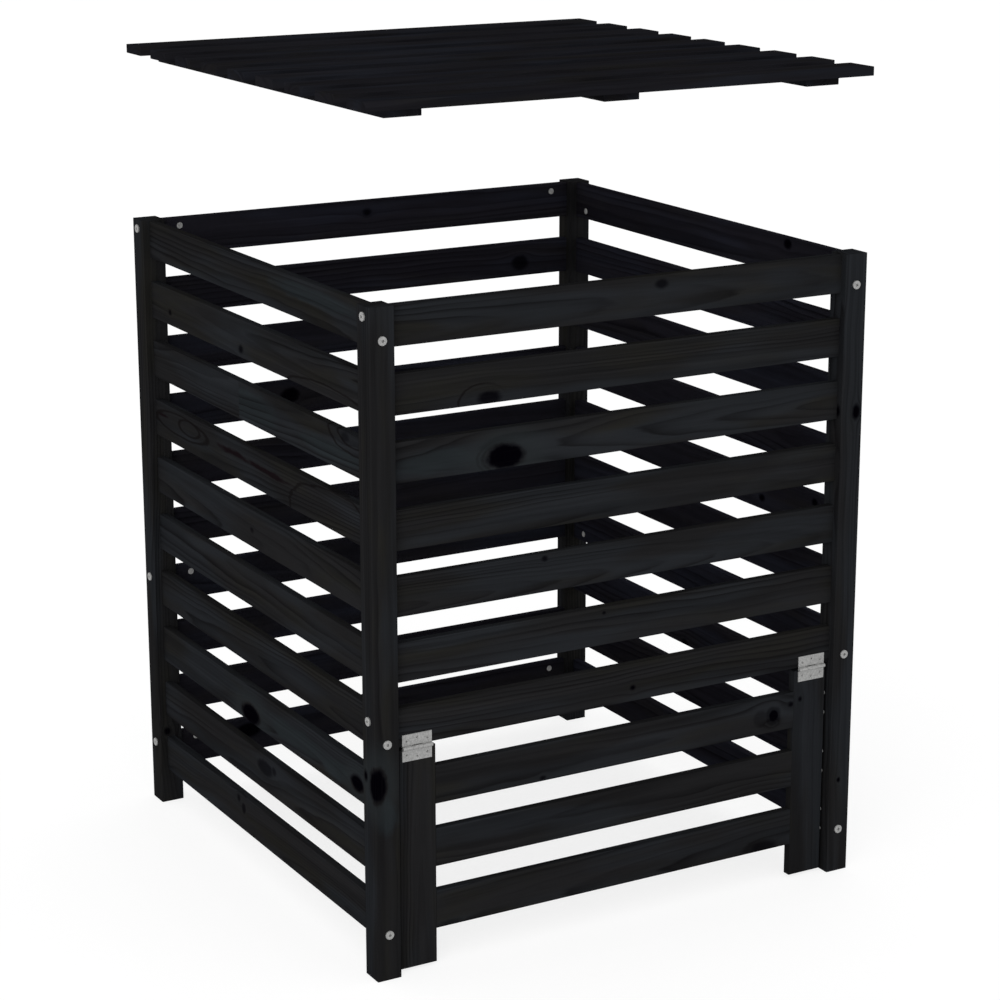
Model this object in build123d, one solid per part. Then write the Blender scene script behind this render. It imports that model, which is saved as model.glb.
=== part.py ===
"""Wooden compost bin: four slatted walls between corner posts, a flap door low in the front, and a
loose slatted lid held above the opening.

Frame: origin on the ground at the middle of the plan, +X to the right, -Y to the front, +Z up.
Every wall is drawn once as a front wall and turned about Z to its own side.
"""
from build123d import *
import os

os.makedirs("parts", exist_ok=True)

# Overall size
PLAN = 825.0  # outside width and depth across the posts
POST = 38.0  # side of a square post
POST_H = 979.0  # height of a post
POST_EASE = 1.5  # rounding of the long edges of a post

# Wall slats
SLAT_H = 58.0  # width of the board, upright in the wall
SLAT_T = 13.5  # thickness of the board
SLAT_EASE = 1.0  # rounding of the long edges of every board
ROWS = 10  # rows of slats in a wall
TOP_DROP = 1.5  # the top row lies this far below the tops of the posts
BOTTOM_GAP = 56.5  # ground to the underside of the lowest row

# Fixings at the slat ends
FIX_EDGE = 13.0  # from the long edge of a slat to the nearer fixing
DOWEL_D = 8.0
DOWEL_IN = 12.0  # greatest length of a dowel inside the slat
DOWEL_WEB = 1.5  # wood left between a dowel hole and the nearest other hole
DOWEL_END = 0.5  # free space beyond each end of a dowel
BOLT_D = 6.0
BOLT_HEAD_D = 13.0
BOLT_HEAD_T = 2.5
BOLT_SOCKET = 4.0  # across the flats of the hexagonal socket
BOLT_PAST_NUT = 2.0  # the bolt ends this far past the far side of its nut
NUT_D = 10.0
NUT_IN = 31.0  # from the slat end to the middle of a barrel nut
NUT_SKIN = 1.0  # wood left on the outer face behind a barrel nut
WOOD_FIT = 0.1  # radial clearance of dowels, nuts and screws in the wood
BOLT_FIT = 0.25  # radial clearance of a bolt in the wood
THREAD_FIT = 0.05  # radial clearance of a bolt in its nut

# Door in the lowest rows of the front wall
DOOR_ROWS = 3
DOOR_SIDE_GAP = 6.0  # between a door stile and the post beside it
DOOR_BOTTOM = 5.0  # ground to the foot of the door
DOOR_TOP_GAP = 5.0  # between the door and the slat above it
STILE_W = 58.0
DOOR_SCREW_D = 4.0
DOOR_SCREW_IN = 27.0  # length of a door screw inside the slat
DOOR_SCREW_HEAD_D = 7.0
DOOR_SCREW_HEAD_T = 4.0

# Hinges of the door
HINGE_OUT = 1.2  # a hinge lies this far outside the middle of its stile
LEAF_L = 47.0  # length of a hinge along its pin
LEAF_H = 20.0  # from the pin to the outer edge of a leaf
LEAF_T = 1.5
KNUCKLE_R = 3.0
KNUCKLE_GAP = 0.3  # between neighbouring knuckles
NOTCH_GAP = 0.5  # between a knuckle and the notch of the other leaf
PIN_D = 3.0
PIN_PROUD = 1.5  # the pin shows this far beyond the right end of the leaves
PIN_FIT_FIXED = 0.02  # radial clearance of the pin in the fixed knuckles
PIN_FIT_DOOR = 0.05  # radial clearance of the pin in the door knuckle
HINGE_SCREW_D = 3.0
HINGE_SCREW_HEAD_D = 6.0
HINGE_SCREW_L = 11.0
HINGE_SCREW_END = 7.0  # from the end of a leaf to its outer screws
HINGE_SCREW_LOW = 9.8  # from the outer edge of a leaf to its outer screws
HINGE_SCREW_HIGH = 6.0  # from the outer edge of a leaf to its middle screw
HEAD_FIT = 0.1  # clearance round a countersunk head

# Lid, shown lifted straight up from the posts
LID_LIFT = 260.0
LID_SLATS = 9
LID_SLAT_W = 58.0
LID_SLAT_T = 13.5
BATTEN_W = 58.0
BATTEN_T = 13.5
BATTEN_POST_GAP = 2.0  # between an outer batten and the posts when the lid is down
BATTEN_WALL_GAP = 5.0  # between a batten end and the wall slats when the lid is down
LID_SCREW_D = 3.5
LID_SCREW_HEAD_D = 7.0
LID_SCREW_POINT = 2.5  # wood left above the point of a lid screw

# Places that follow from the sizes above
SLAT_L = PLAN - 2 * POST
WALL_OUT = PLAN / 2 - POST / 2  # from the middle of the plan to the middle of a wall
PITCH = (POST_H - TOP_DROP - BOTTOM_GAP - SLAT_H) / (ROWS - 1)
FIX_Z = SLAT_H / 2 - FIX_EDGE  # fixings lie this far above and below the middle of a slat
FRONT_ROWS = ROWS - DOOR_ROWS
POST_HOLE = POST / 2 - DOWEL_D / 2 - WOOD_FIT - DOWEL_WEB  # depth of a dowel hole in a post
STILE_X = SLAT_L / 2 - DOOR_SIDE_GAP - STILE_W / 2
HINGE_X = STILE_X + HINGE_OUT
HINGE_SCREW_X = LEAF_L / 2 - HINGE_SCREW_END  # outer leaf screws, from the middle of the hinge
HINGE_ROOM = SLAT_L / 2 - HINGE_X - HINGE_SCREW_X - HINGE_SCREW_D / 2 - WOOD_FIT
SLAT_HOLE = min(DOWEL_IN + DOWEL_END, HINGE_ROOM - DOWEL_WEB)  # depth of a dowel hole in a slat
NUT_HOLE = SLAT_T - NUT_SKIN  # depth of a nut hole from the inner face
BOLT_IN = NUT_IN + NUT_D / 2 + BOLT_PAST_NUT  # length of a bolt inside the slat
DOOR_SLAT_L = 2 * STILE_X - STILE_W
FACE_Y = -WALL_OUT - SLAT_T / 2  # front face of the front slats and of the door
PIN_Y = FACE_Y - KNUCKLE_R
LID_SLAT_PITCH = (PLAN - LID_SLAT_W) / (LID_SLATS - 1)
BATTEN_X = SLAT_L / 2 - BATTEN_POST_GAP - BATTEN_W / 2
BATTEN_L = 2 * (WALL_OUT - SLAT_T / 2 - BATTEN_WALL_GAP)
LID_UNDER = POST_H + LID_LIFT  # underside of the lid slats

# Walls in turning order, each with its rows, its bolted rows and the side of its bolts
WALLS = ["front", "right", "back", "left"]
WALL_ROWS = {"front": FRONT_ROWS, "right": ROWS, "back": ROWS, "left": ROWS}
BOLT_ROWS = {wall: sorted({1, FRONT_ROWS, WALL_ROWS[wall]}) for wall in WALLS}
BOLT_SIDE = {"front": 1, "right": -1, "back": 1, "left": -1}


def row_mid(row):
    """Height of the middle of a row, counted from the top."""
    return POST_H - TOP_DROP - SLAT_H / 2 - (row - 1) * PITCH


DOOR_TOP = row_mid(FRONT_ROWS) - SLAT_H / 2 - DOOR_TOP_GAP
PIN_Z = DOOR_TOP + DOOR_TOP_GAP / 2


def board(length, depth, height, ease):
    """A board along X with its long edges rounded, centred on the origin."""
    body = Box(length, depth, height)
    return fillet(body.edges().filter_by(Axis.X), ease)


def rod(radius, start, end):
    """A round bar along X from start to end."""
    return Pos((start + end) / 2, 0, 0) * Rot(0, 90, 0) * Cylinder(radius, end - start)


def spike(radius, start, end):
    """A round bar along Z from start to end."""
    return Pos(0, 0, (start + end) / 2) * Cylinder(radius, end - start)


def countersink(head_d, shank_d, extra):
    """A cone with its wide end on Z = 0 and its narrow end below it, grown by extra all round."""
    depth = (head_d - shank_d) / 2
    cone = Cone(shank_d / 2 + extra, head_d / 2 + extra, depth)
    return Pos(0, 0, -depth / 2) * cone


def cross_recess(size, depth):
    """The cross-shaped recess of a screw head, cut down from Z = 0."""
    bar = Box(size, size / 4, 2 * depth)
    return bar + Rot(0, 0, 90) * bar


def flat_screw(head_d, shank_d, length):
    """A countersunk screw pointing down, the top of its head on Z = 0."""
    body = countersink(head_d, shank_d, 0) + spike(shank_d / 2, -length, 0)
    return body - cross_recess(0.6 * head_d, 0.25 * head_d)


def flat_screw_hole(head_d, shank_d, length):
    """The hole for a countersunk screw, with free space beyond its point."""
    seat = countersink(head_d, shank_d, HEAD_FIT)
    return seat + spike(shank_d / 2 + WOOD_FIT, -length - DOWEL_END, 0.5)


def wall_place(wall, row):
    """The place of a slat, with its outer face to the outside."""
    return Rot(0, 0, 90 * WALLS.index(wall)) * Pos(0, -WALL_OUT, row_mid(row))


def end_place(end, side):
    """The place of a fixing at one end of a slat, with +X running from the end into the slat."""
    turn = 0 if end < 0 else 180
    return Pos(end * SLAT_L / 2, 0, side * FIX_Z) * Rot(0, 0, turn)


def is_bolted(wall, row, side):
    return row in BOLT_ROWS[wall] and side == BOLT_SIDE[wall]


def wall_fixings(wall, row):
    """Each fixing of a slat as its end, its place on the bin and whether it is a bolt."""
    found = []
    for end in (-1, 1):
        for side in (-1, 1):
            place = wall_place(wall, row) * end_place(end, side)
            found.append((end, side, place, is_bolted(wall, row, side)))
    return found


def nut_hole():
    """The hole for a barrel nut, square to the slat and open on its inner face."""
    hole = Cylinder(NUT_D / 2 + WOOD_FIT, NUT_HOLE)
    return Pos(0, SLAT_T / 2 - NUT_HOLE / 2, 0) * Rot(90, 0, 0) * hole


def wall_slat(wall, row):
    """A slat with the holes for its fixings, in its own place."""
    body = board(SLAT_L, SLAT_T, SLAT_H, SLAT_EASE)
    holes = []
    for end in (-1, 1):
        for side in (-1, 1):
            if is_bolted(wall, row, side):
                holes.append(end_place(end, side) * rod(BOLT_D / 2 + BOLT_FIT, -1, BOLT_IN + DOWEL_END))
                nut_x = end * (SLAT_L / 2 - NUT_IN)
                holes.append(Pos(nut_x, 0, side * FIX_Z) * nut_hole())
            else:
                holes.append(end_place(end, side) * rod(DOWEL_D / 2 + WOOD_FIT, -1, SLAT_HOLE))
    if wall == "front" and row == FRONT_ROWS:
        back_to_slat = Pos(0, WALL_OUT, -row_mid(row))
        holes += [back_to_slat * place * HINGE_HOLE for place in hinge_screw_places(1)]
    return wall_place(wall, row) * (body - holes)


def post(index):
    """A corner post with the holes for the two slat ends of every row that meet it."""
    corner = Rot(0, 0, 90 * index) * Pos(-WALL_OUT, -WALL_OUT, POST_H / 2)
    body = corner * Rot(0, 90, 0) * board(POST_H, POST, POST, POST_EASE)
    holes = []
    for wall, wanted in ((WALLS[index], -1), (WALLS[index - 1], 1)):
        for row in range(1, WALL_ROWS[wall] + 1):
            for end, side, place, bolted in wall_fixings(wall, row):
                if end == wanted and bolted:
                    holes.append(place * rod(BOLT_D / 2 + BOLT_FIT, -POST - 1, 1))
                elif end == wanted:
                    holes.append(place * rod(DOWEL_D / 2 + WOOD_FIT, -POST_HOLE, 1))
    return body - holes


def bolt():
    """A bolt with a flat round head on the outside of the post, running along +X."""
    head = rod(BOLT_HEAD_D / 2, -POST - BOLT_HEAD_T, -POST)
    head = chamfer(head.edges().group_by(Axis.X)[0], 0.6)
    shank = rod(BOLT_D / 2, -POST, BOLT_IN)
    socket = extrude(RegularPolygon(BOLT_SOCKET / 2, 6, major_radius=False), BOLT_HEAD_T)
    socket = Pos(-POST - BOLT_HEAD_T, 0, 0) * Rot(0, 90, 0) * socket
    return head + shank - socket


def barrel_nut():
    """A barrel nut on the origin, along Y, with its cross hole along X."""
    length = NUT_HOLE - 0.3
    body = Pos(0, SLAT_T / 2 - 0.15 - length / 2, 0) * Rot(90, 0, 0) * Cylinder(NUT_D / 2, length)
    return body - rod(BOLT_D / 2 + THREAD_FIT, -NUT_D, NUT_D)


def hinge_places():
    return [Pos(x, PIN_Y, PIN_Z) for x in (-HINGE_X, HINGE_X)]


def hinge_screw_places(up):
    """Places of the leaf screws of both hinges, +Z to the front; up is 1 for the fixed leaves."""
    spots = [(0, LEAF_H - HINGE_SCREW_HIGH)]
    for x in (-1, 1):
        spots.append((x * HINGE_SCREW_X, LEAF_H - HINGE_SCREW_LOW))
    face = KNUCKLE_R - LEAF_T
    found = []
    for hinge in hinge_places():
        for x, z in spots:
            found.append(hinge * Pos(x, face, up * z) * Rot(90, 0, 0))
    return found


def hinge_leaf(up):
    """A leaf about its pin on the X axis; up is 1 for the fixed leaf and -1 for the door leaf."""
    knuckle = (LEAF_L - 2 * KNUCKLE_GAP) / 3
    fit = PIN_FIT_FIXED if up > 0 else PIN_FIT_DOOR
    plate = Pos(0, KNUCKLE_R - LEAF_T / 2, up * LEAF_H / 2) * Box(LEAF_L, LEAF_T, LEAF_H)
    middle = knuckle + 2 * KNUCKLE_GAP if up > 0 else knuckle
    reach = KNUCKLE_R + NOTCH_GAP
    outer = LEAF_L / 2 - middle / 2
    if up > 0:
        notches = [Box(middle, 4 * KNUCKLE_R, 2 * reach)]
        runs = [(-LEAF_L / 2, -middle / 2), (middle / 2, LEAF_L / 2)]
    else:
        side = (middle + outer) / 2
        notches = [Pos(x, 0, 0) * Box(outer, 4 * KNUCKLE_R, 2 * reach) for x in (-side, side)]
        runs = [(-middle / 2, middle / 2)]
    body = plate - notches
    for start, end in runs:
        body += rod(KNUCKLE_R, start, end)
    return body - rod(PIN_D / 2 + fit, -LEAF_L, LEAF_L)


HINGE_HOLE = flat_screw_hole(HINGE_SCREW_HEAD_D, HINGE_SCREW_D, HINGE_SCREW_L)


def hinge_leaves(up):
    """The same leaf of both hinges, drilled for its screws."""
    holes = [place * HINGE_HOLE for place in hinge_screw_places(up)]
    return [hinge * hinge_leaf(up) - holes for hinge in hinge_places()]


def door_rows():
    return range(FRONT_ROWS + 1, ROWS + 1)


def door_screw_places():
    """Places of the screws through the outer edges of the stiles, +X running into the slat."""
    found = []
    for row in door_rows():
        for end, turn in ((-1, 0), (1, 180)):
            for side in (-1, 1):
                z = row_mid(row) + side * FIX_Z
                found.append(Pos(end * DOOR_SLAT_L / 2, -WALL_OUT, z) * Rot(0, 0, turn))
    return found


def door_screw():
    """A round-headed screw along +X, its head on the outer edge of the stile."""
    head = rod(DOOR_SCREW_HEAD_D / 2, -STILE_W - DOOR_SCREW_HEAD_T, -STILE_W)
    head = chamfer(head.edges().group_by(Axis.X)[0], 0.7)
    recess = Rot(0, -90, 0) * cross_recess(0.6 * DOOR_SCREW_HEAD_D, 1.4)
    recess = Pos(-STILE_W - DOOR_SCREW_HEAD_T, 0, 0) * recess
    return head + rod(DOOR_SCREW_D / 2, -STILE_W, DOOR_SCREW_IN) - recess


def lid_slat_ys():
    return [-PLAN / 2 + LID_SLAT_W / 2 + i * LID_SLAT_PITCH for i in range(LID_SLATS)]


def lid_screw_places():
    """Places of the lid screws, driven up through the battens into the slats."""
    found = []
    for x in (-BATTEN_X, 0, BATTEN_X):
        for y in lid_slat_ys():
            reach = BATTEN_L / 2 - LID_SCREW_HEAD_D
            spot = max(-reach, min(reach, y))
            found.append(Pos(x, spot, LID_UNDER - BATTEN_T) * Rot(180, 0, 0))
    return found


LID_SCREW_L = BATTEN_T + LID_SLAT_T - LID_SCREW_POINT
PARTS = {}

# Posts, in turning order from the front left corner
for index, corner in enumerate(["front_left", "front_right", "back_right", "back_left"]):
    PARTS["post_" + corner] = post(index)

# Wall slats, numbered from the top
for wall in WALLS:
    for row in range(1, WALL_ROWS[wall] + 1):
        PARTS[f"{wall}_slat_{row}"] = wall_slat(wall, row)

# Fixings of the walls
dowels, bolts, nuts = [], [], []
for wall in WALLS:
    for row in range(1, WALL_ROWS[wall] + 1):
        for end, side, place, bolted in wall_fixings(wall, row):
            if bolted:
                bolts.append(place * bolt())
                nut_place = Pos(end * (SLAT_L / 2 - NUT_IN), 0, side * FIX_Z)
                nuts.append(wall_place(wall, row) * nut_place * barrel_nut())
            else:
                dowels.append(place * rod(DOWEL_D / 2, -POST_HOLE + DOWEL_END, SLAT_HOLE - DOWEL_END))
PARTS["dowels"] = Compound(children=dowels)
PARTS["bolts"] = Compound(children=bolts)
PARTS["barrel_nuts"] = Compound(children=nuts)

# Door
door_holes = []
for place in door_screw_places():
    door_holes.append(place * rod(DOOR_SCREW_D / 2 + WOOD_FIT, -STILE_W - 1, DOOR_SCREW_IN + DOWEL_END))
for place in hinge_screw_places(-1):
    door_holes.append(place * HINGE_HOLE)
stile_l = DOOR_TOP - DOOR_BOTTOM
for name, x in (("left", -STILE_X), ("right", STILE_X)):
    stile = Rot(0, 90, 0) * board(stile_l, SLAT_T, STILE_W, SLAT_EASE)
    PARTS["door_stile_" + name] = Pos(x, -WALL_OUT, DOOR_BOTTOM + stile_l / 2) * stile - door_holes
for number, row in enumerate(door_rows(), 1):
    slat = Pos(0, -WALL_OUT, row_mid(row)) * board(DOOR_SLAT_L, SLAT_T, SLAT_H, SLAT_EASE)
    PARTS[f"door_slat_{number}"] = slat - door_holes
PARTS["door_screws"] = Compound(children=[place * door_screw() for place in door_screw_places()])

# Hinges of the door
hinge_screw = flat_screw(HINGE_SCREW_HEAD_D, HINGE_SCREW_D, HINGE_SCREW_L)
pin = rod(PIN_D / 2, -LEAF_L / 2, LEAF_L / 2 + PIN_PROUD)
pin = chamfer(pin.edges(), 0.4)
PARTS["hinge_fixed_leaves"] = Compound(children=hinge_leaves(1))
PARTS["hinge_door_leaves"] = Compound(children=hinge_leaves(-1))
PARTS["hinge_pins"] = Compound(children=[place * pin for place in hinge_places()])
PARTS["hinge_fixed_screws"] = Compound(children=[place * hinge_screw for place in hinge_screw_places(1)])
PARTS["hinge_door_screws"] = Compound(children=[place * hinge_screw for place in hinge_screw_places(-1)])

# Lid
lid_screw = flat_screw(LID_SCREW_HEAD_D, LID_SCREW_D, LID_SCREW_L)
lid_hole = flat_screw_hole(LID_SCREW_HEAD_D, LID_SCREW_D, LID_SCREW_L)
lid_holes = [place * lid_hole for place in lid_screw_places()]
lid_slats = []
for y in lid_slat_ys():
    slat = board(PLAN, LID_SLAT_W, LID_SLAT_T, SLAT_EASE)
    lid_slats.append(Pos(0, y, LID_UNDER + LID_SLAT_T / 2) * slat - lid_holes)
PARTS["lid_slats"] = Compound(children=lid_slats)
for name, x in (("left", -BATTEN_X), ("middle", 0), ("right", BATTEN_X)):
    batten = Rot(0, 0, 90) * board(BATTEN_L, BATTEN_W, BATTEN_T, SLAT_EASE)
    PARTS["lid_batten_" + name] = Pos(x, 0, LID_UNDER - BATTEN_T / 2) * batten - lid_holes
PARTS["lid_screws"] = Compound(children=[place * lid_screw for place in lid_screw_places()])

for name, shape in PARTS.items():
    export_step(shape, f"parts/{name}.step")
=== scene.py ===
import random

import bpy
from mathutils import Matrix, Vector


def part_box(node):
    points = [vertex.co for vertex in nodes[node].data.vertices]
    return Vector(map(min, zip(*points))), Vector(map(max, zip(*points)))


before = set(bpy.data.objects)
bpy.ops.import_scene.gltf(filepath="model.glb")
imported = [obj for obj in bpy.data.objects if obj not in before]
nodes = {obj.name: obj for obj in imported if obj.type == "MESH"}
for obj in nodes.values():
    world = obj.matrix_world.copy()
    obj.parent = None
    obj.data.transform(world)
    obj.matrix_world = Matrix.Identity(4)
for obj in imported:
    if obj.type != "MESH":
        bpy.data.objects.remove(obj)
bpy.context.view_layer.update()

scene = bpy.context.scene
chance = random.Random(11)

# Linear colours; a wood is its plain ground, ring line, cool patch and warm patch
STAIN = (
    (0.0128, 0.0127, 0.0134),
    (0.0050, 0.0047, 0.0052),
    (0.0152, 0.0166, 0.0190),
    (0.0138, 0.0134, 0.0122),
)
BEECH = ((0.50, 0.32, 0.16), (0.30, 0.18, 0.09), (0.54, 0.36, 0.19), (0.52, 0.33, 0.16))
# Tints that paint shade into the wood, 1 where there is none: the lid's darker, bluer tint is a painted shade
# of its top, which gets less light than the front and left faces; the inside boards' bluer tint is a painted
# cool shade of the faces inside the bin
PLAIN_TINT, INSIDE_PAINTED_SHADE, LID_PAINTED_SHADE = (1, 1, 1), (0.98, 0.95, 1.20), (0.74, 0.73, 0.84)
KNOT_BLACK = (0.0008, 0.0006, 0.0015, 1)
KNOT_BROWN = (0.0034, 0.0029, 0.0036, 1)
KNOT_PALE = (0.0190, 0.0225, 0.0245, 1)
PALE = (0.0158, 0.0190, 0.0212, 1)
RESIN = (0.0066, 0.0043, 0.0052, 1)
LOOP = (0.0054, 0.0046, 0.0047, 1)
ZINC_DARK, ZINC_LIGHT = (0.27, 0.27, 0.267, 1), (0.39, 0.39, 0.384, 1)
WHITE = (1, 1, 1, 1)

# Noise, in steps to the metre along, across and through the wood
DRIFT_NOISE = (2.2, 6.0, 6.0)
RIPPLE_NOISE = (9.0, 60.0, 60.0)
UNEVEN_NOISE = (0.4, 30.0, 30.0)
STRONG_NOISE = (1.6, 26.0, 26.0)
FIBRE_NOISE = (14.0, 620.0, 620.0)
COOL_NOISE = (3.4, 20.0, 20.0)
WARM_NOISE = (5.1, 27.0, 31.0)
RIM_NOISE = (24.0, 90.0, 90.0)
KNOT_NOISE = (110.0, 110.0, 110.0)
MOTTLE_NOISE = (420.0, 420.0, 420.0)
CLOUD_NOISE = (60.0, 60.0, 60.0)
BAND_ALONG, BAND_DEEP = 1.3, 170.0

# Detail and roughness of fine noise, and detail of ragged rims
FINE, RAGGED_DETAIL = (3.0, 0.6), 3.0

# How far rings wander slowly and quickly and their least and most spacing, in metres
RING_DRIFT, RING_RIPPLE = 0.017, 0.0022
RING_SPACE = (0.0045, 0.0075)

# How uneven rings are, how steeply one darkens and where it ends, and how faint the faintest is
RING_UNEVEN, RING_RISE, RING_END, RING_FAINT = 0.9, 2.5, 0.86, 0.18

# Strength of the rings and how coarse they are
BOARD_RINGS, POST_RINGS, INSIDE_RINGS, LID_RINGS = (0.9, 1.0), (1.0, 0.85), (1.0, 1.5), (0.4, 1.0)

# Where the pith lies across and behind the middle of a board in metres, and how much it leans along it
PITH_ACROSS, PITH_DEEP, PITH_LEAN = (0.004, 0.034), (0.012, 0.04), 0.05

# What sets each row of a node of several boards apart, and the two halves of a joined board
ROW_SEED, ROW_WAVE, ROW_JUMP, ROW_SPREAD = 3.71, 2.3, 0.02, 0.01
JOINT_SEED, SEED_MOST = 7.3, 40.0

# Values of noise where a change starts and where it is full
STRONG_STEP, WARM_STEP, COOL_STEP, BROWN_STEP = (0.38, 0.66), (0.45, 0.7), (0.46, 0.66), (0.5, 0.8)
MOTTLE_STEP = (0.3, 0.7)

# How far boards differ in tone, and what fibres and bands leave of the light
TONE_SPREAD, LEAST_LIGHT, FIBRE_LIGHT, BAND_LIGHT = 0.08, 0.34, 0.4, 0.9

# The width that a knot bleeds in metres and its softest rim, then the pale wood round it in radii
KNOT_BLEED, KNOT_SOFTEST, KNOT_RAGGED = 0.0045, 0.7, 0.35
HALO_START, HALO_END, HALO_SHARE = (1.0, 1.25), (1.3, 3.0), 0.55

# Rims of patches and streaks as shares of their size, how ragged marks are, and the line of a loop in metres
PATCH_RIM, STREAK_RIM = (0.6, 1.15), (0.5, 1.1)
PATCH_RAGGED, STREAK_RAGGED, LOOP_RAGGED = 0.9, 1.7, 0.22
LOOP_LINE, LOOP_SHARE = 0.0022, 0.75

# Relief of the wood and the zinc, as strength and metres, and how rough they are
WOOD_RELIEF, WOOD_DEPTH, WOOD_ROUGH, FIBRE_HEIGHT = 0.25, 0.0004, 0.6, 0.5
ZINC_RELIEF, ZINC_DEPTH, ZINC_ROUGH, ZINC_CLOUDED, ZINC_METAL = 0.08, 0.0003, 0.5, 0.2, 0.5

# Knots from a board's middle: along, across, radius, stretch, darkness, and in a post also depth and reach
KNOTS = {
    "front_slat_1": [(0.059, 0.016, 0.008, 1.6, 0.75)],
    "front_slat_2": [(-0.222, -0.021, 0.011, 1.8, 0.85)],
    "front_slat_3": [(-0.197, -0.012, 0.0176, 1.76, 1.0)],
    "front_slat_5": [(-0.132, 0.021, 0.0045, 1.2, 0.8)],
    "front_slat_6": [(-0.032, 0.020, 0.003, 1.2, 0.8)],
    "front_slat_7": [(0.019, -0.008, 0.0045, 1.2, 1.0)],
    "door_slat_1": [(0.273, -0.003, 0.0165, 0.9, 0.55), (0.274, -0.003, 0.0115, 0.9, 1.0),
                    (0.250, -0.003, 0.014, 1.0, 0.35), (0.306, 0.010, 0.005, 1.2, 0.9),
                    (-0.134, -0.024, 0.004, 1.5, 0.8)],
    "door_slat_3": [(0.261, -0.024, 0.011, 2.2, 0.6), (-0.289, -0.028, 0.008, 3.0, 0.5)],
    "door_stile_right": [(0.121, -0.017, 0.004, 1.2, 0.9)],
    "left_slat_2": [(0.302, -0.008, 0.005, 1.3, 0.8), (0.035, -0.016, 0.007, 1.3, 0.8)],
    "left_slat_3": [(-0.309, 0.021, 0.008, 1.8, 0.5)],
    "left_slat_5": [(0.012, -0.002, 0.005, 1.5, 0.6)],
    "left_slat_8": [(0.034, -0.015, 0.016, 2.0, 1.0), (-0.331, -0.004, 0.013, 1.6, 1.0)],
    "left_slat_9": [(-0.014, 0.008, 0.013, 2.2, 0.65), (-0.047, 0.013, 0.007, 1.2, 0.65)],
    "left_slat_10": [(0.088, 0.020, 0.007, 0.9, 0.7), (0.070, 0.008, 0.010, 0.8, 0.7)],
    "back_slat_1": [(-0.010, 0.009, 0.0068, 1.3, 0.85)],
    "back_slat_2": [(0.282, -0.006, 0.013, 1.3, 0.8)],
    "back_slat_4": [(-0.157, 0.004, 0.0135, 1.4, 1.0)],
    "back_slat_10": [(-0.248, 0.008, 0.014, 1.8, 0.95)],
    "right_slat_1": [(-0.247, 0.020, 0.009, 1.3, 1.0)],
    "right_slat_5": [(-0.196, -0.010, 0.007, 1.3, 1.0), (-0.336, 0.016, 0.007, 1.3, 1.0)],
    "right_slat_7": [(-0.109, -0.024, 0.008, 1.4, 0.9)],
    "right_slat_8": [(0.015, -0.027, 0.008, 1.4, 0.9)],
    "post_back_left": [(-0.366, -0.0065, 0.007, 1.2, 1.0, -0.019, 0.018)],
    "post_front_left": [(-0.192, -0.016, 0.015, 1.75, 1.0, -0.019, 0.018),
                        (-0.184, -0.019, 0.006, 1.6, 1.0, 0.0105, 0.006)],
    "post_front_right": [(0.249, 0.008, 0.0085, 1.6, 1.0, -0.019, 0.018),
                         (0.251, -0.019, 0.006, 1.8, 1.0, -0.0095, 0.006),
                         (-0.338, -0.002, 0.004, 1.2, 1.0, -0.019, 0.018)],
}

# Depth and reach of a knot that goes right through a board
BOARD_KNOT = (0.0, 1.0)

# Pale patches from a board's middle: along, across, half length and half width
PATCHES = {
    "front_slat_3": [(-0.300, -0.004, 0.070, 0.020)],
    "left_slat_1": [(-0.220, 0.010, 0.150, 0.014)],
    "left_slat_3": [(0.010, -0.004, 0.100, 0.026), (-0.260, -0.008, 0.110, 0.016)],
    "left_slat_8": [(-0.130, -0.002, 0.110, 0.018), (-0.260, -0.006, 0.050, 0.018)],
    "post_front_left": [(-0.240, 0.000, 0.030, 0.016)],
}

# Dark red streaks of resin, given as patches are
STREAKS = {
    "left_slat_4": [(0.085, 0.008, 0.055, 0.006), (-0.045, 0.0055, 0.105, 0.005),
                    (0.345, 0.009, 0.026, 0.0045)],
}

# Loops in the grain, given as patches are, some also with the place along the board where they fade
LOOPS = {
    "front_slat_2": [(-0.232, -0.025, 0.038, 0.026, -0.225)],
    "front_slat_3": [(-0.198, -0.012, 0.036, 0.021, -0.205), (-0.200, -0.012, 0.041, 0.025, -0.205)],
    "left_slat_2": [(-0.250, -0.040, 0.140, 0.027)],
    "left_slat_3": [(-0.330, 0.030, 0.075, 0.030), (-0.335, 0.030, 0.050, 0.020)],
    "left_slat_4": [(0.271, 0.005, 0.099, 0.017), (0.241, 0.008, 0.040, 0.012),
                    (-0.270, -0.020, 0.146, 0.049)],
}

# Boards with pale wood round their knots, boards joined in their length, and boards with more cool patches
PALE_RIM = ("front_slat_3", "left_slat_8", "post_front_left")
JOINTS = {"left_slat_3": 0.047}
COLD = {
    "front_slat_3": 0.10, "front_slat_5": 0.05, "left_slat_1": 0.05, "left_slat_3": 0.08, "left_slat_8": 0.08,
    "left_slat_10": 0.03, "door_slat_1": 0.06, "door_slat_3": 0.06, "post_front_right": 0.08,
}

# Axes along, across and through each kind of board
ORDERS = {
    "front_slat": "XZY", "back_slat": "XZY", "door_slat": "XZY", "left_slat": "YZX", "right_slat": "YZX",
    "post": "ZXY", "door_stile": "ZXY", "lid_batten": "YXZ", "lid_slats": "XYZ", "dowels": "XZY",
}
LID_SLATS = 9

# Floor in metres, and how bright it is for other surfaces and for the camera
FLOOR_SIZE = 90.0
FLOOR_LIT, FLOOR_SEEN, FLOOR_GLOW, FLOOR_ROUGH = 0.9, 0.25, 0.8, 0.9

# An even sky, and one broad lamp over the left shoulder of the viewer
SKY = 0.875
KEY_AT, KEY_AIM = Vector((-3.9, -3.9, 2.4)), Vector((0, 0, 0.6))
KEY_WIDTH, KEY_HEIGHT, KEY_WATTS = 3.0, 2.4, 91.0

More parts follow.
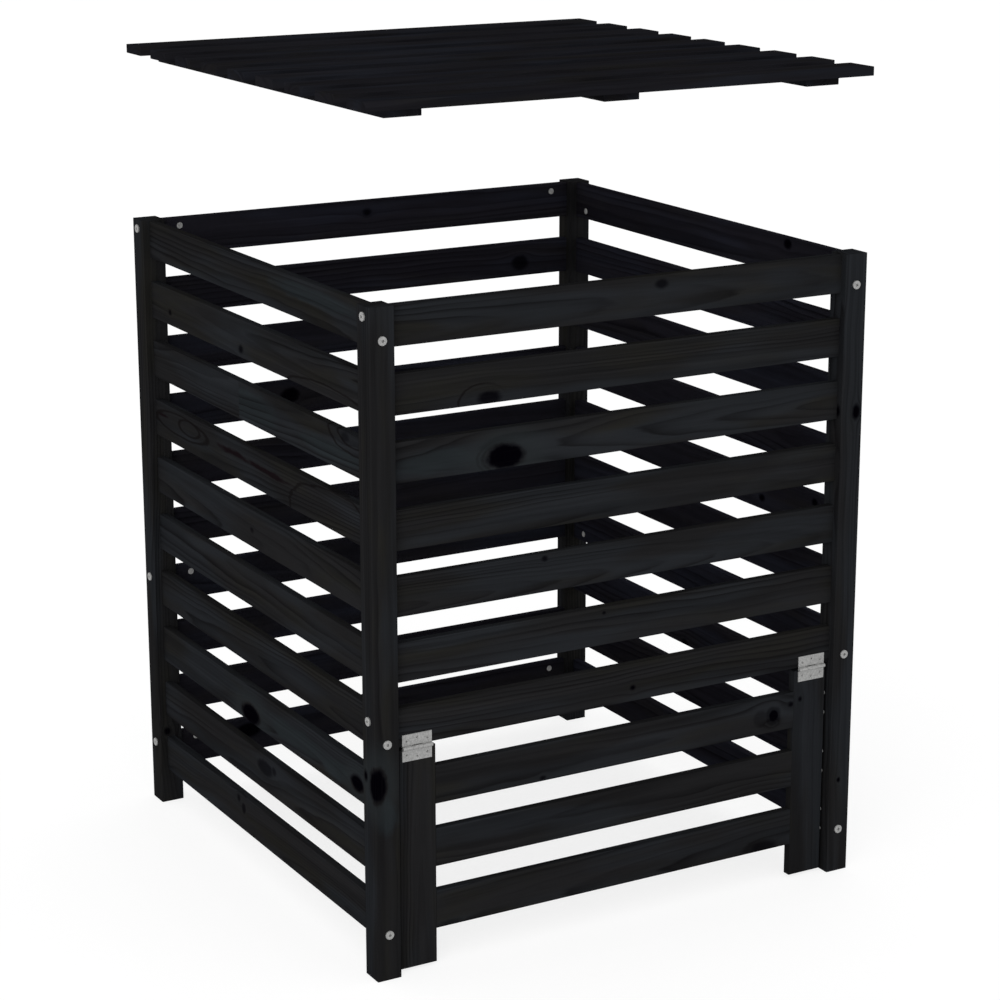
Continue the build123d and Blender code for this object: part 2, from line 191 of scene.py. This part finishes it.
# Camera at the photograph's place, with sensor and focal length in millimetres
CAMERA_AT, CAMERA_LOOK = Vector((-2.00796, -3.57192, 1.70222)), Vector((0.47967, 0.83718, -0.26278))
SENSOR, FOCUS, SHIFT_X, SHIFT_Y = 36.0, 97.44, -0.00901, -0.01798


def put(tree, kind, settings=None, **values):
    """Adds a shader node; a value is a socket to link or a plain number, and n_1 means input 1."""
    made = tree.nodes.new(kind)
    for key, value in (settings or {}).items():
        setattr(made, key, value)
    for key, value in values.items():
        socket = made.inputs[int(key[2:])] if key.startswith("n_") else made.inputs[key.replace("_", " ")]
        if isinstance(value, bpy.types.NodeSocket):
            tree.links.new(value, socket)
        else:
            socket.default_value = value
    return made


def calc(tree, op, *values):
    """A maths node on sockets or numbers, as one socket."""
    made = put(tree, "ShaderNodeMath", {"operation": op}, **{f"n_{i}": v for i, v in enumerate(values)})
    return made.outputs[0]


def squares(tree, *values):
    """The sum of the squares of some values."""
    total = 0.0
    for value in values:
        total = calc(tree, "MULTIPLY_ADD", value, value, total)
    return total


def fade_in(tree, value, low, high):
    """0 below low, 1 above high and smooth between them."""
    smooth = {"interpolation_type": "SMOOTHSTEP"}
    return put(tree, "ShaderNodeMapRange", smooth, Value=value, From_Min=low, From_Max=high).outputs[0]


def fade_out(tree, value, low, high):
    """1 below low, 0 above high and smooth between them."""
    return calc(tree, "SUBTRACT", 1.0, fade_in(tree, value, low, high))


def mix(tree, share, a, b, how="MIX"):
    """Mixes two colours by share."""
    made = put(tree, "ShaderNodeMix", {"data_type": "RGBA", "blend_type": how}, n_0=share, n_6=a, n_7=b)
    return made.outputs[2]


def split(tree, place):
    """The three parts of a place."""
    return put(tree, "ShaderNodeSeparateXYZ", Vector=place).outputs


def noise(tree, place, steps, detail=2.0, rough=0.5):
    """Noise with so many steps to the metre each way."""
    moved = put(tree, "ShaderNodeVectorMath", {"operation": "MULTIPLY"}, n_0=place, n_1=steps).outputs[0]
    made = put(tree, "ShaderNodeTexNoise", Vector=moved, Scale=1.0, Detail=detail, Roughness=rough)
    return made.outputs[0]


def group(name, inputs, outputs):
    """A node group from a place and numbers to numbers, as its tree, its inputs and its output node."""
    tree = bpy.data.node_groups.new(name, "ShaderNodeTree")
    tree.interface.new_socket("Vector", in_out="INPUT", socket_type="NodeSocketVector")
    for label in inputs:
        tree.interface.new_socket(label, in_out="INPUT", socket_type="NodeSocketFloat")
    for label in outputs:
        tree.interface.new_socket(label, in_out="OUTPUT", socket_type="NodeSocketFloat")
    return tree, tree.nodes.new("NodeGroupInput").outputs, tree.nodes.new("NodeGroupOutput")


def give(tree, end, *values):
    """Links values to the outputs of a node group, in their order."""
    for value, socket in zip(values, end.inputs):
        tree.links.new(value, socket)


def knot_group():
    """One knot: its shift of the grain that flows round it, its black core and the pale wood beside it."""
    tree, given, end = group(
        "Knot",
        ["Along", "Across", "Through", "Radius", "Stretch", "Reach", "Soft", "Dark", "Pale"],
        ["Shift", "Core", "Halo"],
    )
    ragged = calc(tree, "SUBTRACT", noise(tree, given["Vector"], KNOT_NOISE, RAGGED_DETAIL), 0.5)
    xyz = split(tree, given["Vector"])
    aside = calc(tree, "SUBTRACT", xyz[1], given["Across"])
    u = calc(tree, "DIVIDE", calc(tree, "SUBTRACT", xyz[0], given["Along"]), given["Radius"])
    u = calc(tree, "DIVIDE", u, given["Stretch"])
    v = calc(tree, "DIVIDE", aside, given["Radius"])
    w = calc(tree, "DIVIDE", calc(tree, "SUBTRACT", xyz[2], given["Through"]), given["Reach"])
    square = squares(tree, v, w, u)
    far = calc(tree, "MULTIPLY_ADD", ragged, KNOT_RAGGED, calc(tree, "SQRT", square))
    inner = calc(tree, "SUBTRACT", 1.0, given["Soft"])
    outer = calc(tree, "MULTIPLY_ADD", given["Soft"], 0.5, 1.0)
    core = fade_out(tree, far, inner, outer)
    halo = calc(tree, "SUBTRACT", fade_in(tree, far, *HALO_START), fade_in(tree, far, *HALO_END))
    flow = calc(tree, "DIVIDE", aside, calc(tree, "MAXIMUM", square, 1.0))
    give(
        tree,
        end,
        calc(tree, "MULTIPLY", flow, -1.0),
        calc(tree, "MULTIPLY", core, given["Dark"]),
        calc(tree, "MULTIPLY", halo, given["Pale"]),
    )
    return tree


def grain_group():
    """Growth rings cut lengthwise: ring line, fine fibre, slow changes to cool and warm, and long bands."""
    tree, given, end = group(
        "Grain",
        ["Seed", "Pith Across", "Pith Deep", "Lean", "Spacing", "Shift"],
        ["Line", "Fibre", "Cool", "Warm", "Band"],
    )
    seed = given["Seed"]
    offset = put(tree, "ShaderNodeCombineXYZ", X=seed, Y=seed, Z=seed).outputs[0]
    moved = put(tree, "ShaderNodeVectorMath", {"operation": "ADD"}, n_0=given["Vector"], n_1=offset)
    place = moved.outputs[0]
    xyz = split(tree, given["Vector"])
    drift = calc(tree, "MULTIPLY_ADD", noise(tree, place, DRIFT_NOISE), 2 * RING_DRIFT, -RING_DRIFT)
    ripple = calc(tree, "MULTIPLY_ADD", noise(tree, place, RIPPLE_NOISE), 2 * RING_RIPPLE, -RING_RIPPLE)
    v = calc(tree, "ADD", calc(tree, "SUBTRACT", xyz[1], given["Pith Across"]), drift)
    v = calc(tree, "ADD", v, given["Shift"])
    pith = calc(tree, "MULTIPLY_ADD", xyz[0], given["Lean"], given["Pith Deep"])
    w = calc(tree, "SUBTRACT", xyz[2], pith)
    r = calc(tree, "ADD", calc(tree, "SQRT", squares(tree, v, w)), ripple)
    uneven = calc(tree, "MULTIPLY", noise(tree, place, UNEVEN_NOISE, 1.0), RING_UNEVEN)
    ring = calc(tree, "FRACT", calc(tree, "ADD", calc(tree, "DIVIDE", r, given["Spacing"]), uneven))
    line = calc(tree, "MULTIPLY", calc(tree, "POWER", ring, RING_RISE), fade_out(tree, ring, RING_END, 1.0))
    strong = fade_in(tree, noise(tree, place, STRONG_NOISE), *STRONG_STEP)
    along, deep = calc(tree, "MULTIPLY", xyz[0], BAND_ALONG), calc(tree, "MULTIPLY", r, BAND_DEEP)
    banded = put(tree, "ShaderNodeCombineXYZ", X=along, Y=deep, Z=seed).outputs[0]
    give(
        tree,
        end,
        calc(tree, "MULTIPLY", line, calc(tree, "ADD", RING_FAINT, strong)),
        noise(tree, place, FIBRE_NOISE, *FINE),
        noise(tree, place, COOL_NOISE),
        noise(tree, place, WARM_NOISE),
        noise(tree, banded, (1.0, 1.0, 1.0)),
    )
    return tree


def oval_group():
    """How far a place lies from the middle of an oval, as a share of its size, with a ragged rim."""
    tree, given, end = group("Oval", ["Along", "Across", "Half Length", "Half Width", "Ragged"], ["Far"])
    rough = calc(tree, "SUBTRACT", noise(tree, given["Vector"], RIM_NOISE, RAGGED_DETAIL), 0.5)
    xyz = split(tree, given["Vector"])
    a = calc(tree, "DIVIDE", calc(tree, "SUBTRACT", xyz[0], given["Along"]), given["Half Length"])
    b = calc(tree, "DIVIDE", calc(tree, "SUBTRACT", xyz[1], given["Across"]), given["Half Width"])
    far = calc(tree, "SQRT", squares(tree, a, b))
    give(tree, end, calc(tree, "ADD", far, calc(tree, "MULTIPLY", rough, given["Ragged"])))
    return tree


KNOT, GRAIN, OVAL = knot_group(), grain_group(), oval_group()


def material(name):
    """A new material and its empty node tree."""
    mat = bpy.data.materials.new(name)
    mat.use_nodes = True
    mat.node_tree.nodes.clear()
    return mat, mat.node_tree


def surface(tree, **values):
    """Ends a material's tree with a surface that has the named inputs."""
    shader = put(tree, "ShaderNodeBsdfPrincipled", **values)
    put(tree, "ShaderNodeOutputMaterial", Surface=shader.outputs[0])


def order_of(name):
    """The axes of a board, or None for steel."""
    return next((order for start, order in ORDERS.items() if name.startswith(start)), None)


def board_place(tree, order, low, high, rows):
    """Metres along, across and through a board from its middle, and the number of its row, if any."""
    middle = (low + high) / 2
    along, across, through = ["XYZ".index(letter) for letter in order]
    xyz = split(tree, put(tree, "ShaderNodeTexCoord").outputs["Object"])
    u = calc(tree, "SUBTRACT", xyz[along], middle[along])
    w = calc(tree, "SUBTRACT", xyz[through], middle[through])
    if not rows:
        return u, calc(tree, "SUBTRACT", xyz[across], middle[across]), w, None
    first, pitch, width = rows
    row = calc(tree, "FLOOR", calc(tree, "DIVIDE", calc(tree, "SUBTRACT", xyz[across], first), pitch))
    centre = calc(tree, "MULTIPLY_ADD", row, pitch, first + width / 2)
    return u, calc(tree, "SUBTRACT", xyz[across], centre), w, row


def knots(tree, place, name):
    """All knots of one board: their shift of the grain, their black cores and the pale wood beside them."""
    shift, core, halo = 0.0, 0.0, 0.0
    for along, across, radius, stretch, dark, *face in KNOTS.get(name, ()):
        deep, reach = face or BOARD_KNOT
        made = put(tree, "ShaderNodeGroup", {"node_tree": KNOT}, Vector=place, Along=along, Across=across,
                   Through=deep, Radius=radius, Stretch=stretch, Reach=reach, Dark=dark,
                   Soft=min(KNOT_SOFTEST, KNOT_BLEED / radius), Pale=float(name in PALE_RIM)).outputs
        shift = calc(tree, "ADD", shift, made["Shift"])
        core = calc(tree, "MAXIMUM", core, made["Core"])
        halo = calc(tree, "MAXIMUM", halo, made["Halo"])
    return shift, core, halo


def oval(tree, place, mark, ragged):
    """How far a place lies from the middle of one mark."""
    along, across, length, width = mark[:4]
    made = put(tree, "ShaderNodeGroup", {"node_tree": OVAL}, Vector=place, Along=along, Across=across,
               Half_Length=length, Half_Width=width, Ragged=ragged)
    return made.outputs[0]


def marked(tree, place, along, ground, name):
    """Adds the pale patches, resin streaks and loops in the grain of one board to its colour."""
    for mark in PATCHES.get(name, ()):
        inside = fade_out(tree, oval(tree, place, mark, PATCH_RAGGED), *PATCH_RIM)
        if name in JOINTS:
            inside = calc(tree, "MULTIPLY", inside, calc(tree, "LESS_THAN", along, JOINTS[name]))
        ground = mix(tree, inside, ground, PALE)
    for mark in STREAKS.get(name, ()):
        inside = fade_out(tree, oval(tree, place, mark, STREAK_RAGGED), *STREAK_RIM)
        ground = mix(tree, inside, ground, RESIN)
    for mark in LOOPS.get(name, ()):
        length, width, *ends = mark[2:]
        off = calc(tree, "ABSOLUTE", calc(tree, "SUBTRACT", oval(tree, place, mark, LOOP_RAGGED), 1.0))
        line = fade_out(tree, calc(tree, "MULTIPLY", off, width), LOOP_LINE / 4, LOOP_LINE)
        share = calc(tree, "MULTIPLY", line, LOOP_SHARE)
        for end in ends:
            share = calc(tree, "MULTIPLY", share, fade_out(tree, along, end - length / 2, end + length))
        ground = mix(tree, share, ground, LOOP)
    return ground


def pine(name, stain, painted_shade_tint=PLAIN_TINT, rings=BOARD_RINGS, rows=None):
    """Stained pine for one node. Rows is the first edge, pitch and width of boards that share a node."""
    bold, coarse = rings
    # The tint paints shade into every colour of the wood: darker and bluer on the lid, bluer on the boards
    # seen from inside
    plain, line, cool, warm = [[a * b for a, b in zip(colour, painted_shade_tint)] + [1] for colour in stain]
    mat, tree = material("pine_" + name)
    u, v, w, row = board_place(tree, order_of(name), *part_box(name), rows)
    place = put(tree, "ShaderNodeCombineXYZ", X=u, Y=v, Z=w).outputs[0]
    seed = chance.uniform(0.0, SEED_MOST)
    if rows:
        seed = calc(tree, "MULTIPLY_ADD", row, ROW_SEED, seed)
        jump = calc(tree, "MULTIPLY", calc(tree, "SINE", calc(tree, "MULTIPLY", row, ROW_WAVE)), ROW_JUMP)
        pith_across = calc(tree, "ADD", jump, chance.uniform(-ROW_SPREAD, ROW_SPREAD))
    else:
        pith_across = chance.choice((-1, 1)) * chance.uniform(*PITH_ACROSS)
    if name in JOINTS:
        seed = calc(tree, "MULTIPLY_ADD", calc(tree, "GREATER_THAN", u, JOINTS[name]), JOINT_SEED, seed)
    pith_deep = chance.choice((-1, 1)) * chance.uniform(*PITH_DEEP)
    lean = chance.uniform(-PITH_LEAN, PITH_LEAN)
    spacing = chance.uniform(*RING_SPACE) * coarse
    tone = chance.uniform(1 - TONE_SPREAD, 1 + TONE_SPREAD)
    shift, core, halo = knots(tree, place, name)
    grain = put(tree, "ShaderNodeGroup", {"node_tree": GRAIN}, Vector=place, Seed=seed, Shift=shift,
                Lean=lean, Spacing=spacing, Pith_Across=pith_across, Pith_Deep=pith_deep).outputs
    ground = [tone * part for part in plain[:3]] + [1]
    ground = mix(tree, fade_in(tree, grain["Warm"], *WARM_STEP), ground, warm)
    cold = [edge - COLD.get(name, 0.0) for edge in COOL_STEP]
    ground = mix(tree, fade_in(tree, grain["Cool"], *cold), ground, cool)
    ground = marked(tree, place, u, ground, name)
    ground = mix(tree, calc(tree, "MULTIPLY", grain["Line"], bold), ground, line)
    light = calc(tree, "MULTIPLY_ADD", grain["Fibre"], FIBRE_LIGHT, LEAST_LIGHT)
    light = calc(tree, "MULTIPLY_ADD", grain["Band"], BAND_LIGHT, light)
    light = put(tree, "ShaderNodeCombineColor", Red=light, Green=light, Blue=light).outputs[0]
    ground = mix(tree, 1.0, ground, light, "MULTIPLY")
    if name in KNOTS:
        ground = mix(tree, calc(tree, "MULTIPLY", halo, HALO_SHARE), ground, KNOT_PALE)
        heart = mix(tree, fade_in(tree, grain["Fibre"], *BROWN_STEP), KNOT_BLACK, KNOT_BROWN)
        ground = mix(tree, core, ground, heart)
    height = calc(tree, "SUBTRACT", calc(tree, "MULTIPLY", grain["Fibre"], FIBRE_HEIGHT), grain["Line"])
    bump = put(tree, "ShaderNodeBump", Height=height, Strength=WOOD_RELIEF, Distance=WOOD_DEPTH).outputs[0]
    surface(tree, Base_Color=ground, Roughness=WOOD_ROUGH, Specular_IOR_Level=0.0, Normal=bump)
    return mat


def zinc():
    """Dull zinc plate, lightly mottled."""
    mat, tree = material("zinc_plate")
    where = put(tree, "ShaderNodeTexCoord").outputs["Object"]
    mottle = noise(tree, where, MOTTLE_NOISE, *FINE)
    colour = mix(tree, fade_in(tree, mottle, *MOTTLE_STEP), ZINC_DARK, ZINC_LIGHT)
    rough = calc(tree, "MULTIPLY_ADD", noise(tree, where, CLOUD_NOISE), ZINC_CLOUDED, ZINC_ROUGH)
    bump = put(tree, "ShaderNodeBump", Height=mottle, Strength=ZINC_RELIEF, Distance=ZINC_DEPTH).outputs[0]
    surface(tree, Base_Color=colour, Roughness=rough, Metallic=ZINC_METAL, Normal=bump)
    return mat


def seen(tree):
    """1 for camera, glossy and transmission rays, else 0."""
    path = put(tree, "ShaderNodeLightPath").outputs
    mirrored = calc(tree, "MAXIMUM", path["Is Glossy Ray"], path["Is Transmission Ray"])
    return calc(tree, "MAXIMUM", path["Is Camera Ray"], mirrored)


def white_floor():
    """Pale for the light it throws back, and lifted to white, with a faint shadow, where it is seen."""
    mat, tree = material("floor_white")
    looked_at = seen(tree)
    lit, shown = [(level, level, level, 1) for level in (FLOOR_LIT, FLOOR_SEEN)]
    shade = mix(tree, looked_at, lit, shown)
    glow = calc(tree, "MULTIPLY", looked_at, FLOOR_GLOW)
    surface(tree, Base_Color=shade, Roughness=FLOOR_ROUGH, Specular_IOR_Level=0.0, Emission_Color=WHITE,
            Emission_Strength=glow)
    return mat


def lid_rows():
    """First edge, pitch and width of the lid's slats, which share a node and are as wide as a front board."""
    low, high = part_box("lid_slats")
    board_low, board_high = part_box("front_slat_1")
    width = board_high.z - board_low.z
    return low.y, (high.y - low.y - width) / (LID_SLATS - 1), width


# Materials of the pieces
steel = zinc()
for name, piece in nodes.items():
    if name == "dowels":
        mat = pine(name, BEECH)
    # The lid's slats and battens are darkened and blued, a painted shade of the lid's top
    elif name == "lid_slats":
        mat = pine(name, STAIN, LID_PAINTED_SHADE, LID_RINGS, lid_rows())
    elif name.startswith("lid_batten"):
        mat = pine(name, STAIN, LID_PAINTED_SHADE, LID_RINGS)
    # Back and right boards, seen from inside the bin, get a bluer cast, a painted shade colour
    elif name.startswith(("back_slat", "right_slat")):
        mat = pine(name, STAIN, INSIDE_PAINTED_SHADE, INSIDE_RINGS)
    elif name.startswith(("post", "door_stile")):
        mat = pine(name, STAIN, PLAIN_TINT, POST_RINGS)
    elif order_of(name):
        mat = pine(name, STAIN)
    else:
        mat = steel
    piece.data.materials.clear()
    piece.data.materials.append(mat)

# Floor
bpy.ops.mesh.primitive_plane_add(size=FLOOR_SIZE, location=(0, 0, 0))
floor = bpy.context.object
floor.name = "floor"
floor.data.materials.append(white_floor())

# Sky, white where it is seen
world = bpy.data.worlds.new("studio")
scene.world = world
world.use_nodes = True
tree = world.node_tree
sky = tree.nodes["Background"]
sky.inputs["Color"].default_value = WHITE
tree.links.new(calc(tree, "MULTIPLY_ADD", seen(tree), 1.0 - SKY, SKY), sky.inputs["Strength"])

# Lamp
lamp = bpy.data.lights.new("key", "AREA")
lamp.shape = "RECTANGLE"
lamp.size, lamp.size_y = KEY_WIDTH, KEY_HEIGHT
lamp.energy = KEY_WATTS
key = bpy.data.objects.new("key", lamp)
key.location = KEY_AT
key.rotation_euler = (KEY_AIM - KEY_AT).to_track_quat("-Z", "Y").to_euler()
scene.collection.objects.link(key)

# Camera
lens = bpy.data.cameras.new("camera")
lens.sensor_width, lens.lens = SENSOR, FOCUS
lens.shift_x, lens.shift_y = SHIFT_X, SHIFT_Y
lens.clip_end = 2 * FLOOR_SIZE
camera = bpy.data.objects.new("camera", lens)
camera.location = CAMERA_AT
camera.rotation_euler = CAMERA_LOOK.to_track_quat("-Z", "Y").to_euler()
scene.collection.objects.link(camera)
scene.camera = camera

scene.view_settings.view_transform = "Standard"
